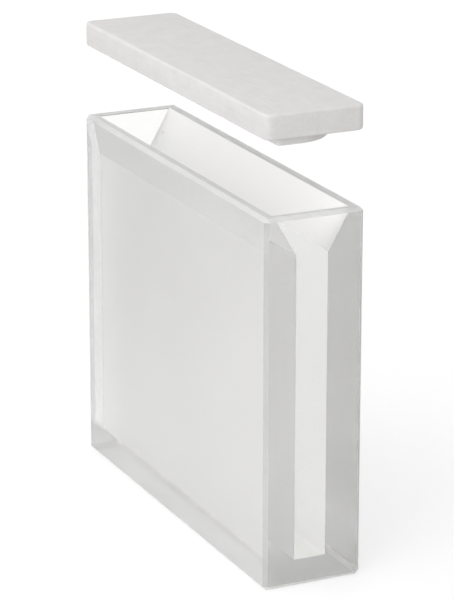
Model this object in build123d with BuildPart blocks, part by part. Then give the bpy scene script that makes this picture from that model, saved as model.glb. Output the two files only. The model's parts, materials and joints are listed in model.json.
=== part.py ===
from build123d import *

import os

# An absorption cell of fused quartz glass with its loose stopper lid, in millimetres.
# The origin is the middle of the cell's base. Z points up. Y runs along the light path,
# from the entrance window at the front (-Y) to the exit window at the back. X runs across.

# Light path: the clear distance between the two windows, and the windows themselves
light_path = 50.0
window_thickness = 1.25

# Outside of the cell, across and up
cell_width = 12.5
cell_height = 45.0

# The narrow chamber and the solid glass under it
chamber_width = 4.0
base_thickness = 3.0

# The funnel that opens the chamber to the mouth, and the rim left on each long side
funnel_depth = 5.0
rim_width = 1.35

# Bevel ground along every outer edge of the glass, and the finer one round the mouth
edge_bevel = 0.45
mouth_arris = 0.12

# Lid: a plate with the cell's own outline, and its rounded corners and edges
lid_thickness = 3.0
lid_corner_radius = 1.0
lid_edge_radius = 0.3

# Plug under the lid: how far it reaches into the funnel, and its clearance all round
plug_depth = 1.1
plug_clearance = 0.15
plug_tight_corner = 0.5
plug_broad_corner = 5.2
plug_edge_bevel = 0.15

# Height of the lid's underside above the rim, with the lid taken off
lid_lift = 9.0

# Sizes that follow
cell_length = light_path + 2 * window_thickness
mouth_width = cell_width - 2 * rim_width
throat_height = cell_height - funnel_depth
lid_underside = cell_height + lid_lift
funnel_narrowing = (mouth_width - chamber_width) / funnel_depth
plug_width = mouth_width - plug_depth * funnel_narrowing - 2 * plug_clearance
plug_length = light_path - 2 * plug_clearance

# The cell is one piece: its plates are fused, so no seam is left inside the glass.
# The outer block comes first, with the ground bevel on all of its twelve edges.
with BuildPart() as cell:
    with BuildSketch(Plane.XY):
        Rectangle(cell_width, cell_length)
    extrude(amount=cell_height)
    chamfer(cell.edges(), length=edge_bevel)

    # Half of the hollow's cross-section, from the middle of the floor up the chamber wall,
    # out along the funnel and through the rim, mirrored to the other side.
    with BuildSketch(Plane.XZ):
        with BuildLine():
            Polyline(
                (0, base_thickness),
                (chamber_width / 2, base_thickness),
                (chamber_width / 2, throat_height),
                (mouth_width / 2, cell_height),
                (0, cell_height),
            )
            mirror(about=Plane.YZ)
        make_face()
    extrude(amount=light_path / 2, both=True, mode=Mode.SUBTRACT)

    # The hollow leaves four sharp edges round the mouth, and a fine bevel breaks them.
    rim = cell.faces().sort_by(Axis.Z)[-1]
    chamfer(rim.inner_wires()[0].edges(), length=mouth_arris)
cell.part.label = "cell"

# The lid rests its plate on the rim when it is put on, and its plug centres it in the funnel.
with BuildPart() as lid:
    with BuildSketch(Plane.XY.offset(lid_underside)):
        RectangleRounded(cell_width, cell_length, lid_corner_radius)
    extrude(amount=lid_thickness)
    lid_faces = lid.faces().sort_by(Axis.Z)
    fillet(lid_faces[0].edges() + lid_faces[-1].edges(), radius=lid_edge_radius)

    # The plug's two left-hand corners are tight and the two right-hand ones broadly rounded,
    # so that the lid can be tipped in and out along its right-hand side.
    with BuildSketch(Plane.XY.offset(lid_underside)) as plug_outline:
        Rectangle(plug_width, plug_length)
        fillet(plug_outline.vertices().group_by(Axis.X)[0], radius=plug_tight_corner)
        fillet(plug_outline.vertices().group_by(Axis.X)[-1], radius=plug_broad_corner)
    extrude(amount=-plug_depth)
    chamfer(lid.faces().sort_by(Axis.Z)[0].edges(), length=plug_edge_bevel)
lid.part.label = "lid"

os.makedirs("parts", exist_ok=True)
export_step(cell.part, "parts/cell.step")
export_step(lid.part, "parts/lid.step")
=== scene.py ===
# %% [markdown]
# # A quartz absorption cell and its lid
#
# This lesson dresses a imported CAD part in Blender. The part is a small rectangular cell for
# measuring how much light a liquid takes in. Light goes in through one end window, crosses
# 50 mm of liquid in a narrow chamber and leaves through the other window. The whole body is
# fused from clear quartz glass. A milled white lid hovers above the mouth, taken off.
#
# Glass is hard to show, because a perfect piece of it on a white table can hardly be seen.
# What makes it visible is its surface: windows are polished, long sides are very finely
# ground, and the rim and bevels are ground rougher. So most of this lesson is about which
# face has which finish.

# %% Load the fixed frame
import json
import math

import bmesh
import bpy
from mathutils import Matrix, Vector

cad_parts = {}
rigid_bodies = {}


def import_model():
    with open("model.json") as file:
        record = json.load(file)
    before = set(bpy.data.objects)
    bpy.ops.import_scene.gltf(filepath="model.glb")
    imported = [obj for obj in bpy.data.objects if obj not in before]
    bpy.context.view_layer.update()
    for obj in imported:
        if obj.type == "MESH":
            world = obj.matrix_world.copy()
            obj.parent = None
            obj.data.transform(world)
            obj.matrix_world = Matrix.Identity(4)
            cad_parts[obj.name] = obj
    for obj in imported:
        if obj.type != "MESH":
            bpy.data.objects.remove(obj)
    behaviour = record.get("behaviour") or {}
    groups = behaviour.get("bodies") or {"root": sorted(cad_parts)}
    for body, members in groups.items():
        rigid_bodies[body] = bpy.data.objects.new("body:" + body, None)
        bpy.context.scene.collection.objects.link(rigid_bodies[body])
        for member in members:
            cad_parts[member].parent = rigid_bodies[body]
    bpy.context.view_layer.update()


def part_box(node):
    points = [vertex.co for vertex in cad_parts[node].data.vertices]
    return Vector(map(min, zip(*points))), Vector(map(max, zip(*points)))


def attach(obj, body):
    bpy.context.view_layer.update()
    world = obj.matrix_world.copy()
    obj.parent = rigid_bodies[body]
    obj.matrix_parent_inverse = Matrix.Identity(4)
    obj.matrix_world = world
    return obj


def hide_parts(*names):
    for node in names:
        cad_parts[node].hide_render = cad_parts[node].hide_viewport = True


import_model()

cell_low, cell_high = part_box("cell")
lid_low, lid_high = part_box("lid")
MM = 0.001

# %% [markdown]
# ## The glass body
#
# The real body is made of plates that are heated until they fuse, so no seam is left inside.
# In a renderer that matters twice over: light must cross one closed skin on its way in and
# one on its way out, and two skins lying on each other would bend it wrongly. The body is
# therefore one mesh. It starts from a cube, which gets its ground bevels, and then its top
# face is inset to the mouth and pushed down twice: once narrowing, which makes the funnel,
# and once straight down, which makes the chamber.

# %% Sizes of the body
WINDOW = 1.25 * MM
CHAMBER_WIDTH = 4.0 * MM
BASE = 3.0 * MM
FUNNEL = 5.0 * MM
RIM = 1.35 * MM
GROUND_BEVEL = 0.45 * MM
ARRIS = 0.12 * MM
NEAR = 0.01 * MM

body_size = cell_high - cell_low
mouth = Vector((body_size.x - 2 * RIM, body_size.y - 2 * WINDOW))
print("mouth:", [round(v / MM, 2) for v in mouth], "mm")

# %% Helpers for shaping a mesh
EVERY_EDGE = {"affect": "EDGES", "profile": 0.5, "material": -1, "offset_type": "OFFSET"}
STRAIGHT = 0.999
SMOOTH_BELOW = math.radians(30)


def new_block(low, high):
    """A bmesh that holds one box between two corners."""
    shape = bmesh.new()
    bmesh.ops.create_cube(shape, size=1.0)
    bmesh.ops.scale(shape, vec=high - low, verts=shape.verts)
    bmesh.ops.translate(shape, vec=(low + high) / 2, verts=shape.verts)
    return shape


def highest_face(shape):
    """The topmost face that looks straight up."""
    level = [f for f in shape.faces if f.normal.z > STRAIGHT]
    return max(level, key=lambda f: f.calc_center_median().z)


def push_in(shape, face, depth, narrow=1.0):
    """Pushes a level face down by a depth, narrows it across, and returns it."""
    grown = bmesh.ops.extrude_face_region(shape, geom=[face])["geom"]
    corners = [v for v in grown if isinstance(v, bmesh.types.BMVert)]
    bmesh.ops.translate(shape, vec=(0, 0, -depth), verts=corners)
    bmesh.ops.scale(shape, vec=(narrow, 1, 1), verts=corners)
    if face.is_valid:
        bmesh.ops.delete(shape, geom=[face], context="FACES_ONLY")
    return next(f for f in grown if isinstance(f, bmesh.types.BMFace))


def finish_mesh(shape, name, smooth=False):
    """Turns a bmesh into an object of the scene, with its faces pointing outwards."""
    bmesh.ops.remove_doubles(shape, verts=shape.verts, dist=NEAR / 10)
    bmesh.ops.recalc_face_normals(shape, faces=shape.faces)
    open_edges = sum(not e.is_manifold for e in shape.edges)
    mesh = bpy.data.meshes.new(name)
    shape.to_mesh(mesh)
    shape.free()
    if smooth:
        mesh.shade_smooth()
        mesh.set_sharp_from_angle(angle=SMOOTH_BELOW)
    piece = bpy.data.objects.new(name, mesh)
    bpy.context.scene.collection.objects.link(piece)
    print(name, "faces:", len(mesh.polygons), "open edges:", open_edges)
    return piece


print("bevels are made with:", EVERY_EDGE)

# %% Shape the glass body
body = new_block(cell_low, cell_high)
bmesh.ops.bevel(body, geom=body.edges[:], offset=GROUND_BEVEL, segments=1, **EVERY_EDGE)

opening = highest_face(body)
bmesh.ops.inset_individual(body, faces=[opening], thickness=WINDOW - GROUND_BEVEL)
width_now = max(v.co.x for v in opening.verts) - min(v.co.x for v in opening.verts)
length_now = max(v.co.y for v in opening.verts) - min(v.co.y for v in opening.verts)
fit = (mouth.x / width_now, mouth.y / length_now, 1)
bmesh.ops.scale(body, vec=fit, verts=opening.verts)

throat = push_in(body, opening, FUNNEL, narrow=CHAMBER_WIDTH / mouth.x)
chamber_floor = push_in(body, throat, body_size.z - FUNNEL - BASE)
floor_height = chamber_floor.calc_center_median().z
print("chamber floor at", round(floor_height / MM, 2), "mm")

# %% [markdown]
# A glass worker breaks every sharp edge with a stroke of fine abrasive, or it would chip and
# cut. The trade calls that tiny bevel an arris. Round the mouth it is about a tenth of a
# millimetre, and it is what draws the thin bright and dark lines there.

# %% Break the sharp edges of the mouth
mouth_edges = [
    e
    for e in body.edges
    if all(abs(v.co.z - cell_high.z) < NEAR for v in e.verts)
    and all(abs(v.co.x) < mouth.x / 2 + NEAR for v in e.verts)
    and all(abs(v.co.y) < mouth.y / 2 + NEAR for v in e.verts)
]
bmesh.ops.bevel(body, geom=mouth_edges, offset=ARRIS, segments=1, **EVERY_EDGE)
print("mouth edges broken:", len(mouth_edges))

# %% [markdown]
# ## Finishes of the glass
#
# Each face gets its finish from where it lies and where it looks. Light passes a polished
# window untouched. A ground face scatters it a little, and keeps a part of it back at each
# crossing. That is all there is to see on this cell: light that has crossed two ground sides
# and the chamber looks grey, light that has crossed fewer looks white.

# %% Sort the faces by finish
FINISHES = (
    "polished window",
    "ground side",
    "chamber wall",
    "funnel",
    "rim",
    "chamber floor",
    "level bevel",
    "upright bevel",
    "underside",
)


def finish_of(face):
    """The name of the finish that a face of the body has."""
    at, out = face.calc_center_median(), face.normal
    if abs(out.y) > STRAIGHT:
        return "polished window"
    if abs(out.x) > STRAIGHT:
        return "ground side" if abs(at.x) > mouth.x / 2 else "chamber wall"
    if out.z < -STRAIGHT:
        return "underside"
    if out.z > STRAIGHT:
        return "rim" if at.z > body_size.z / 2 else "chamber floor"
    inside = abs(at.x) < mouth.x / 2 and abs(at.y) < mouth.y / 2
    if inside and at.z < cell_high.z - ARRIS:
        return "funnel"
    return "upright bevel" if abs(out.z) < 1 - STRAIGHT else "level bevel"


bmesh.ops.recalc_face_normals(body, faces=body.faces)
for face in body.faces:
    face.material_index = FINISHES.index(finish_of(face))
counts = {name: sum(finish_of(f) == name for f in body.faces) for name in FINISHES}
print("faces by finish:", counts)
glass_body = finish_mesh(body, "quartz_body")

# %% [markdown]
# Every finish needs a grain, patches and specks, only in other amounts. In Blender that is a
# node group: it is built once, and each material sets the group's inputs to its own values.
# The helpers below make such a group and fill its sockets.

# %% Helpers for node trees
def new_group(name, inputs, outputs):
    """An empty shader node group with float inputs and named outputs."""
    group = bpy.data.node_groups.new(name, "ShaderNodeTree")
    for label, value in inputs.items():
        socket = group.interface.new_socket(label, in_out="INPUT", socket_type="NodeSocketFloat")
        socket.default_value = value
    for label in outputs:
        group.interface.new_socket(label, in_out="OUTPUT", socket_type="NodeSocketFloat")
    return group, group.nodes.new("NodeGroupInput"), group.nodes.new("NodeGroupOutput")


def give(tree, socket, value):
    """Gives a socket its value, which is a plain number or colour, or another socket."""
    if isinstance(value, bpy.types.NodeSocket):
        tree.links.new(value, socket)
    else:
        socket.default_value = value


def new_material(name):
    """A material with its node tree and its Principled BSDF."""
    material = bpy.data.materials.new(name)
    material.use_nodes = True
    return material, material.node_tree, material.node_tree.nodes["Principled BSDF"]


print("node helpers:", new_group.__name__, give.__name__, new_material.__name__)


# %% Helpers for textures and sums
def noise(tree, coordinates, scale, detail=2.0, seed=0.0):
    """A noise texture on given coordinates, with a seed that picks another pattern."""
    node = tree.nodes.new("ShaderNodeTexNoise")
    node.noise_dimensions = "4D"
    for label, value in (("Vector", coordinates), ("W", seed), ("Scale", scale)):
        give(tree, node.inputs[label], value)
    node.inputs["Detail"].default_value = detail
    return node.outputs["Fac"]


def remap(tree, value, low, high, start=0.0, end=1.0):
    """Maps a value from the range start..end to the range low..high."""
    node = tree.nodes.new("ShaderNodeMapRange")
    labels = ("Value", "From Min", "From Max", "To Min", "To Max")
    for label, given in zip(labels, (value, start, end, low, high)):
        give(tree, node.inputs[label], given)
    return node.outputs["Result"]


def math_node(tree, operation, *values):
    """A math node on numbers or sockets."""
    node = tree.nodes.new("ShaderNodeMath")
    node.operation = operation
    for socket, value in zip(node.inputs, values):
        give(tree, socket, value)
    return node.outputs["Value"]


def blend_colour(tree, factor, first, second):
    """Mixes two colours."""
    node = tree.nodes.new("ShaderNodeMix")
    node.data_type = "RGBA"
    for label, given in (("Factor", factor), ("A", first), ("B", second)):
        give(tree, node.inputs[label], given)
    return node.outputs["Result"]


def add_bumps(tree, shader, height, strength, depth):
    """Gives a shader bumps from a height that changes over the surface."""
    bumps = tree.nodes.new("ShaderNodeBump")
    bumps.inputs["Strength"].default_value = strength
    bumps.inputs["Distance"].default_value = depth
    tree.links.new(height, bumps.inputs["Height"])
    tree.links.new(bumps.outputs["Normal"], shader.inputs["Normal"])


print("texture helpers:", noise.__name__, remap.__name__, blend_colour.__name__)

# %% [markdown]
# Ground glass is glass with a skin of microscopic pits. The group below stands for them.
# Fine noise is the grain itself, wide soft noise is the uneven pressure of the grinding
# wheel, and a few sparse dots are specks of dust and tiny chips. A fade is painted light: it
# lets a finish grow lighter towards the front and the base, as the photograph shows on the
# long side.

# %% The grain group, with a painted light fade
PATCH_SHARE, GRAIN_SHARE = 0.6, 0.4
NOISE_LOW, NOISE_HIGH = 0.3, 0.7

grain, grain_in, grain_out = new_group(
    "ground grain and painted light",
    inputs={
        "Grain Size": 2000.0,
        "Patch Size": 90.0,
        "Patch Seed": 0.0,
        "Fade": 0.0,
        "Roughness Low": 0.1,
        "Roughness High": 0.2,
    },
    outputs=["Roughness", "Height", "Patches And Painted Light", "Specks"],
)
chosen_value = grain_in.outputs
place = grain.nodes.new("ShaderNodeTexCoord").outputs["Object"]
fine = noise(grain, place, chosen_value["Grain Size"], detail=3.0)
wide = noise(grain, place, chosen_value["Patch Size"], 3.0, chosen_value["Patch Seed"])
mottle = math_node(
    grain, "ADD", remap(grain, wide, 0.0, PATCH_SHARE), remap(grain, fine, 0.0, GRAIN_SHARE)
)
low, high = chosen_value["Roughness Low"], chosen_value["Roughness High"]
rough_now = remap(grain, mottle, low, high, NOISE_LOW, NOISE_HIGH)
grain.links.new(rough_now, grain_out.inputs["Roughness"])
grain.links.new(fine, grain_out.inputs["Height"])
print("grain group:", [s.name for s in grain.interface.items_tree])

# %% Patches with their painted light fade, and specks
SPECK_GRID = 250.0
SPECK_CORE, SPECK_EDGE = 0.02, 0.045
SPECK_CHOICE = 0.72

# The fade is painted light: a tint ramp that grows lighter towards the near end and the base.
ends = grain.nodes.new("ShaderNodeSeparateXYZ")
grain.links.new(place, ends.inputs["Vector"])
nearer = remap(grain, ends.outputs["Y"], 0.5, -0.5, cell_low.y, cell_high.y)
lower = remap(grain, ends.outputs["Z"], 0.5, -0.5, cell_low.z, cell_high.z)
ramp_for_painted_light = math_node(grain, "ADD", nearer, lower)
painted_light_slope = math_node(grain, "MULTIPLY", ramp_for_painted_light, chosen_value["Fade"])
spread_out = remap(grain, mottle, 0.0, 1.0, NOISE_LOW, NOISE_HIGH)
patches_and_painted_light = remap(grain, math_node(grain, "ADD", spread_out, painted_light_slope), 0.0, 1.0)
grain.links.new(patches_and_painted_light, grain_out.inputs["Patches And Painted Light"])

dots = grain.nodes.new("ShaderNodeTexVoronoi")
dots.inputs["Scale"].default_value = SPECK_GRID
grain.links.new(place, dots.inputs["Vector"])
dot = remap(grain, dots.outputs["Distance"], 1.0, 0.0, SPECK_CORE, SPECK_EDGE)
some = math_node(grain, "GREATER_THAN", dots.outputs["Color"], SPECK_CHOICE)
grain.links.new(math_node(grain, "MULTIPLY", dot, some), grain_out.inputs["Specks"])
print("nodes in the grain group:", len(grain.nodes))

# %% [markdown]
# The glass itself is one shader with the refractive index of fused quartz. How clear it is
# stays a plain number. A ground face meets light in two ways. From the air side its pits
# are nearly flat for the light. From inside the glass they turn much more of it back and
# scatter it wider, so Backfacing can change the tint and add roughness there.

# %% Glass material
QUARTZ_INDEX = 1.458
WARMTH = (1.0, 0.998, 0.99)
SPECK_COLOUR = (0.62, 0.61, 0.6, 1.0)
PIT_DEPTH = 0.02 * MM


def warm_grey(level):
    """A very slightly warm grey of a given level."""
    return (*(level * part for part in WARMTH), 1.0)


def glass(
    name,
    clear,
    tints,
    rough,
    inside_tint=1.0,
    inside_rough=0.0,
    relief=0.1,
    patch_size=90.0,
    patch_seed=0.0,
    painted_light_fade=0.0,
    mirror=0.0,
):
    """Quartz with one finish. Tints and roughness range between two values each."""
    material, tree, shader = new_material(name)
    shader.inputs["IOR"].default_value = QUARTZ_INDEX
    shader.inputs["Transmission Weight"].default_value = clear
    shader.inputs["Metallic"].default_value = mirror

    group = tree.nodes.new("ShaderNodeGroup")
    group.node_tree = grain
    own_values = {
        "Roughness Low": rough[0],
        "Roughness High": rough[1],
        "Patch Size": patch_size,
        "Patch Seed": patch_seed,
        "Fade": painted_light_fade,
    }
    for label, value in own_values.items():
        group.inputs[label].default_value = value
    own = group.outputs

    backfacing = tree.nodes.new("ShaderNodeNewGeometry").outputs["Backfacing"]
    roughness = math_node(tree, "MULTIPLY_ADD", backfacing, inside_rough, own["Roughness"])
    # For the ground side the patches also carry the painted light fade.
    tint = blend_colour(tree, own["Patches And Painted Light"], warm_grey(tints[0]), warm_grey(tints[1]))
    marked = blend_colour(tree, own["Specks"], tint, SPECK_COLOUR)
    either_side = blend_colour(tree, backfacing, marked, warm_grey(inside_tint))
    tree.links.new(roughness, shader.inputs["Roughness"])
    tree.links.new(either_side, shader.inputs["Base Color"])
    add_bumps(tree, shader, own["Height"], relief, PIT_DEPTH)
    print(name, "clear:", clear, "tints:", tints, "roughness:", rough)
    return material


# %% [markdown]
# Now the values. The funnel is ground until it looks like snow, because a white funnel is
# easy to hit with a pipette. Rim and bevels are ground coarsest. The underside's dark tint is
# painted shade, since the table shades it. The chamber's floor lies at the end of a deep narrow
# slot, where it only sends back what its walls send down, so it gets a softly mirroring finish.

# %% Give each face its finish
COARSE = {"rough": (0.3, 0.4), "inside_tint": 0.97}
BIG_PATCHES = {"patch_size": 40.0, "patch_seed": 3.0}

VALUES = {
    "polished window": {
        "clear": 1.0, "tints": (1.0, 1.0), "rough": (0.0, 0.01), "relief": 0.0,
    },
    # The ground side's fade is painted light, lighter towards the front and the base.
    "ground side": {
        "clear": 0.9, "tints": (0.79, 0.99), "rough": (0.18, 0.22),
        "inside_tint": 0.95, "painted_light_fade": 1.2, **BIG_PATCHES,
    },
    "chamber wall": {
        "clear": 0.65, "tints": (0.96, 1.0), "rough": (0.1, 0.15),
        "inside_rough": 0.4, **BIG_PATCHES,
    },
    "funnel": {
        "clear": 0.0, "tints": (0.99, 1.0), "rough": (0.5, 0.6), "inside_tint": 0.98,
    },
    "rim": {"clear": 0.5, "tints": (0.7, 0.8), **COARSE},
    "chamber floor": {
        "clear": 0.0, "tints": (1.0, 1.0), "rough": (0.12, 0.16), "mirror": 1.0,
    },
    "level bevel": {"clear": 0.4, "tints": (0.66, 0.76), **COARSE},
    # The upright bevels share the coarse grinding of the level ones; their darker tint is painted
    # shade.
    "upright bevel": {"clear": 0.4, "tints": (0.45, 0.55), **COARSE},
    # The underside's dark tints, inside and out, are painted shade from the table.
    "underside": {
        "clear": 0.75, "tints": (0.6, 0.65), "rough": (0.3, 0.4),
        "inside_tint": 0.68, "relief": 0.0,
    },
}
for name in FINISHES:
    glass_body.data.materials.append(glass(name, **VALUES[name]))
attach(glass_body, "root")
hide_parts("cell")
print("finishes on the body:", len(glass_body.data.materials))

# %% [markdown]
# ## The lid
#
# The real lid is milled from white fluoropolymer, a soft slippery plastic that no solvent
# attacks. It is a flat plate with a shallow plug below, which drops into the funnel and
# centres it. Two corners of the plug are tight and two are broadly rounded, so the lid can be
# tipped out. Plate and plug start as two blocks whose edges are bevelled round. A union
# then makes one skin of them, as the real one is one piece.

# %% Sizes of the lid
PLATE = 3.0 * MM
PLATE_CORNER = 1.0 * MM
PLATE_EDGE = 0.3 * MM
PLUG_CLEARANCE = 0.15 * MM
TIGHT_CORNER = 0.5 * MM
BROAD_CORNER = 5.2 * MM
PLUG_EDGE = 0.15 * MM

plug_depth = (lid_high.z - lid_low.z) - PLATE
plug_narrowing = plug_depth * (mouth.x - CHAMBER_WIDTH) / FUNNEL
plug_half_width = (mouth.x - plug_narrowing) / 2 - PLUG_CLEARANCE
plug_half_length = mouth.y / 2 - PLUG_CLEARANCE
plate_bottom = lid_low.z + plug_depth
plug_size = (2 * plug_half_width, 2 * plug_half_length, plug_depth)
print("plug:", [round(v / MM, 2) for v in plug_size], "mm")


# %% Helpers for rounding edges
def upright_edges(shape, side=0):
    """The upright edges of a block, all of them or those on one side."""
    return [
        e
        for e in shape.edges
        if abs(e.verts[0].co.z - e.verts[1].co.z) > MM / 2 and side * e.verts[0].co.x >= 0
    ]


def edges_at(shape, height):
    """The edges that lie level at a height."""
    return [e for e in shape.edges if all(abs(v.co.z - height) < NEAR for v in e.verts)]


def round_edges(shape, edges, radius, segments):
    """Rounds edges with a bevel of several segments."""
    bmesh.ops.bevel(shape, geom=edges, offset=radius, segments=segments, **EVERY_EDGE)
    print("rounded", len(edges), "edges to", round(radius / MM, 2), "mm")


# %% Shape plate and plug
plate = new_block(Vector((lid_low.x, lid_low.y, plate_bottom)), lid_high)
round_edges(plate, upright_edges(plate), PLATE_CORNER, segments=8)
level_edges = edges_at(plate, lid_high.z) + edges_at(plate, plate_bottom)
round_edges(plate, level_edges, PLATE_EDGE, segments=4)

plug_low = Vector((-plug_half_width, -plug_half_length, lid_low.z))
plug_high = Vector((plug_half_width, plug_half_length, plate_bottom + PLATE / 2))
plug = new_block(plug_low, plug_high)
round_edges(plug, upright_edges(plug, side=-1), TIGHT_CORNER, segments=6)
round_edges(plug, upright_edges(plug, side=1), BROAD_CORNER, segments=24)
round_edges(plug, edges_at(plug, lid_low.z), PLUG_EDGE, segments=3)
plate_piece = finish_mesh(plate, "plate_blank")
plug_piece = finish_mesh(plug, "plug_blank")

# %% Join them into one skin
union = plate_piece.modifiers.new("union", "BOOLEAN")
union.operation = "UNION"
union.solver = "EXACT"
union.object = plug_piece
evaluated = plate_piece.evaluated_get(bpy.context.evaluated_depsgraph_get())
skin = bmesh.new()
skin.from_mesh(bpy.data.meshes.new_from_object(evaluated))
for blank in (plate_piece, plug_piece):
    bpy.data.objects.remove(blank)
lid_piece = finish_mesh(skin, "milled_lid", smooth=True)
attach(lid_piece, "root")
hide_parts("lid")

# %% [markdown]
# The plastic is white and matte, and light goes a little way into it, which softens every
# edge. The cutter left faint lines along the plate, and handling left the surface mottled.

# %% Lid material
LID_DARK, LID_LIGHT = (0.6, 0.585, 0.58, 1), (0.66, 0.65, 0.645, 1)
ALONG_THE_CUT = (1.0, 0.12, 1.0)
STREAKS, BLOTCHES = 2600.0, 420.0
CUT_STRENGTH, CUT_DEPTH = 0.35, 0.03 * MM
LID_SMOOTHEST, LID_ROUGHEST = 0.5, 0.68
SOFTNESS, LIGHT_REACH = 0.35, 0.8 * MM

white, tree, shader = new_material("milled white plastic")
shader.inputs["Subsurface Weight"].default_value = SOFTNESS
shader.inputs["Subsurface Radius"].default_value = (1.0, 0.92, 0.88)
shader.inputs["Subsurface Scale"].default_value = LIGHT_REACH

place = tree.nodes.new("ShaderNodeTexCoord").outputs["Object"]
stretch = tree.nodes.new("ShaderNodeMapping")
stretch.inputs["Scale"].default_value = ALONG_THE_CUT
tree.links.new(place, stretch.inputs["Vector"])
streaks = noise(tree, stretch.outputs["Vector"], STREAKS, detail=3.0)
blotches = noise(tree, place, BLOTCHES, detail=5.0)
pattern = math_node(tree, "ADD", remap(tree, streaks, 0.0, 0.5), remap(tree, blotches, 0.0, 0.5))
shade = remap(tree, pattern, 0.0, 1.0, start=0.35, end=0.65)
colour = blend_colour(tree, shade, LID_DARK, LID_LIGHT)
tree.links.new(colour, shader.inputs["Base Color"])
lid_roughness = remap(tree, pattern, LID_SMOOTHEST, LID_ROUGHEST)
tree.links.new(lid_roughness, shader.inputs["Roughness"])
add_bumps(tree, shader, pattern, CUT_STRENGTH, CUT_DEPTH)
lid_piece.data.materials.append(white)
print("lid material:", white.name, "with", len(tree.nodes), "nodes")

# %% [markdown]
# ## Table, studio and camera
#
# The cell stands on white paper. For the camera the paper is white and keeps the soft
# shadow of the cell. Light that passes through the glass, or is mirrored by it, also finds
# plain white there. For all other light the paper is a mid grey, as in a studio whose light
# comes from above, so that the underside of the lid stays darker than its top.
#
# The paper lies a hair below the glass. Two skins at the same height would fight for the same
# pixels, and with no air between them the base wouldn't mirror from inside as glass does.

# %% Paper on the table
PAPER_SIZE = 20.0
AIR_GAP = 0.05 * MM
GREY_TO_CAMERA, GREY_TO_LIGHT = (0.5, 0.5, 0.5, 1), (0.7, 0.7, 0.7, 1)
GLOW_TO_CAMERA = 0.5


def ray_kinds(tree):
    """Masks for rays that come from the camera, and that come from glass."""
    rays = tree.nodes.new("ShaderNodeLightPath").outputs
    by_glass = math_node(tree, "MAXIMUM", rays["Is Glossy Ray"], rays["Is Transmission Ray"])
    return rays["Is Camera Ray"], by_glass


bpy.ops.mesh.primitive_plane_add(size=PAPER_SIZE, location=(0, 0, -AIR_GAP))
table = bpy.context.object
table.name = "white_table"

paper, tree = new_material("white paper")[:2]
tree.nodes.clear()
surface = tree.nodes.new("ShaderNodeOutputMaterial").inputs["Surface"]
from_camera, by_glass = ray_kinds(tree)
lit = tree.nodes.new("ShaderNodeBsdfDiffuse")
give(tree, lit.inputs["Color"], blend_colour(tree, from_camera, GREY_TO_LIGHT, GREY_TO_CAMERA))
glow = tree.nodes.new("ShaderNodeEmission")
give(tree, glow.inputs["Strength"], math_node(tree, "MULTIPLY", from_camera, GLOW_TO_CAMERA))
seen_paper = tree.nodes.new("ShaderNodeAddShader")
give(tree, seen_paper.inputs[0], lit.outputs[0])
give(tree, seen_paper.inputs[1], glow.outputs[0])
plain_white = tree.nodes.new("ShaderNodeEmission")
either = tree.nodes.new("ShaderNodeMixShader")
for socket, value in zip(either.inputs, (by_glass, seen_paper.outputs[0], plain_white.outputs[0])):
    give(tree, socket, value)
give(tree, surface, either.outputs[0])
table.data.materials.append(paper)
print("table:", table.name, "at", round(table.location.z / MM, 2), "mm")

# %% [markdown]
# The studio is a big soft tent, brighter towards one side. The lean below points to the
# bright side. The tent is plain white wherever the camera or the glass looks at it.

# %% Studio tent
TENT_LOW, TENT_HIGH = 0.3, 1.7
LEAN = Vector((-0.9, -0.25, 0.15)).normalized()

world = bpy.data.worlds.new("soft studio")
bpy.context.scene.world = world
world.use_nodes = True
tree = world.node_tree
toward = tree.nodes.new("ShaderNodeVectorMath")
toward.operation = "DOT_PRODUCT"
give(tree, toward.inputs[0], tree.nodes.new("ShaderNodeTexCoord").outputs["Generated"])
toward.inputs[1].default_value = LEAN
level = remap(tree, toward.outputs["Value"], TENT_LOW, TENT_HIGH, start=-1.0)
looked_at = math_node(tree, "MAXIMUM", *ray_kinds(tree))
plain = tree.nodes.new("ShaderNodeMix")
for label, value in (("Factor", looked_at), ("A", level), ("B", 1.0)):
    give(tree, plain.inputs[label], value)
give(tree, tree.nodes["Background"].inputs["Color"], plain.outputs["Result"])
print("tent from", TENT_LOW, "to", TENT_HIGH)

# %% [markdown]
# A small softbox stands low and close on the near left, just outside the picture, and points
# at the foot of the cell. It reaches into the glass through the long side and makes the near
# lower end of the cell the brightest. Its narrow spread keeps it off the lid.

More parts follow.
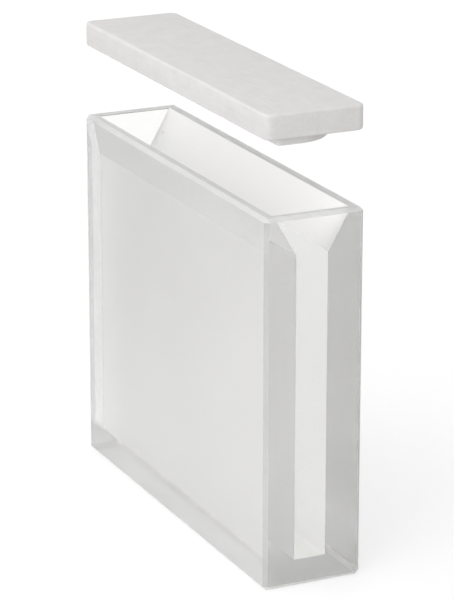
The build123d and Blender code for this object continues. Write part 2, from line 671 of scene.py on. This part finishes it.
# %% Softbox
SOFTBOX_SIZE, SOFTBOX_LEVEL = 0.06, 0.9
SOFTBOX_SPREAD = math.radians(65)
SOFTBOX_AT = Vector((-0.09, -0.085, 0.02))

lamp_data = bpy.data.lights.new("softbox", "AREA")
lamp_data.size = SOFTBOX_SIZE
lamp_data.spread = SOFTBOX_SPREAD
lamp_data.energy = SOFTBOX_LEVEL * math.pi * SOFTBOX_SIZE**2
lamp = bpy.data.objects.new("softbox", lamp_data)
bpy.context.scene.collection.objects.link(lamp)
lamp.location = SOFTBOX_AT
lamp.rotation_euler = (-SOFTBOX_AT).to_track_quat("-Z", "Y").to_euler()
print("softbox energy:", round(lamp_data.energy, 3), "W")

# %% [markdown]
# The camera looks from the front left and a little from above, through a long lens, as in a
# catalogue picture. Glass needs many bounces: light that is turned back inside the cell
# would otherwise end as black.

# %% Camera
AZIMUTH, ELEVATION = math.radians(-25.07), math.radians(17.88)
DISTANCE = 0.3734
LOOK_AT = Vector((0, 0, 0.0225))
SIDEWAYS, UPWARDS = 1.15 * MM, 4.38 * MM
SENSOR, LENS = 36, 183.5

back = Vector((
    math.sin(AZIMUTH) * math.cos(ELEVATION),
    -math.cos(AZIMUTH) * math.cos(ELEVATION),
    math.sin(ELEVATION),
))
right = Vector((math.cos(AZIMUTH), math.sin(AZIMUTH), 0))
up = back.cross(right)
camera_data = bpy.data.cameras.new("camera")
camera_data.sensor_width = SENSOR
camera_data.lens = LENS
camera_data.clip_start = 10 * MM
camera = bpy.data.objects.new("camera", camera_data)
bpy.context.scene.collection.objects.link(camera)
camera.location = LOOK_AT + back * DISTANCE + right * SIDEWAYS + up * UPWARDS
camera.rotation_euler = (-back).to_track_quat("-Z", "Y").to_euler()
bpy.context.scene.camera = camera
bpy.context.scene.view_settings.view_transform = "Standard"

light_paths = bpy.context.scene.cycles
light_paths.max_bounces = 40
light_paths.transmission_bounces = 40
light_paths.glossy_bounces = 24
light_paths.diffuse_bounces = 16
print("camera at", [round(v, 4) for v in camera.location])
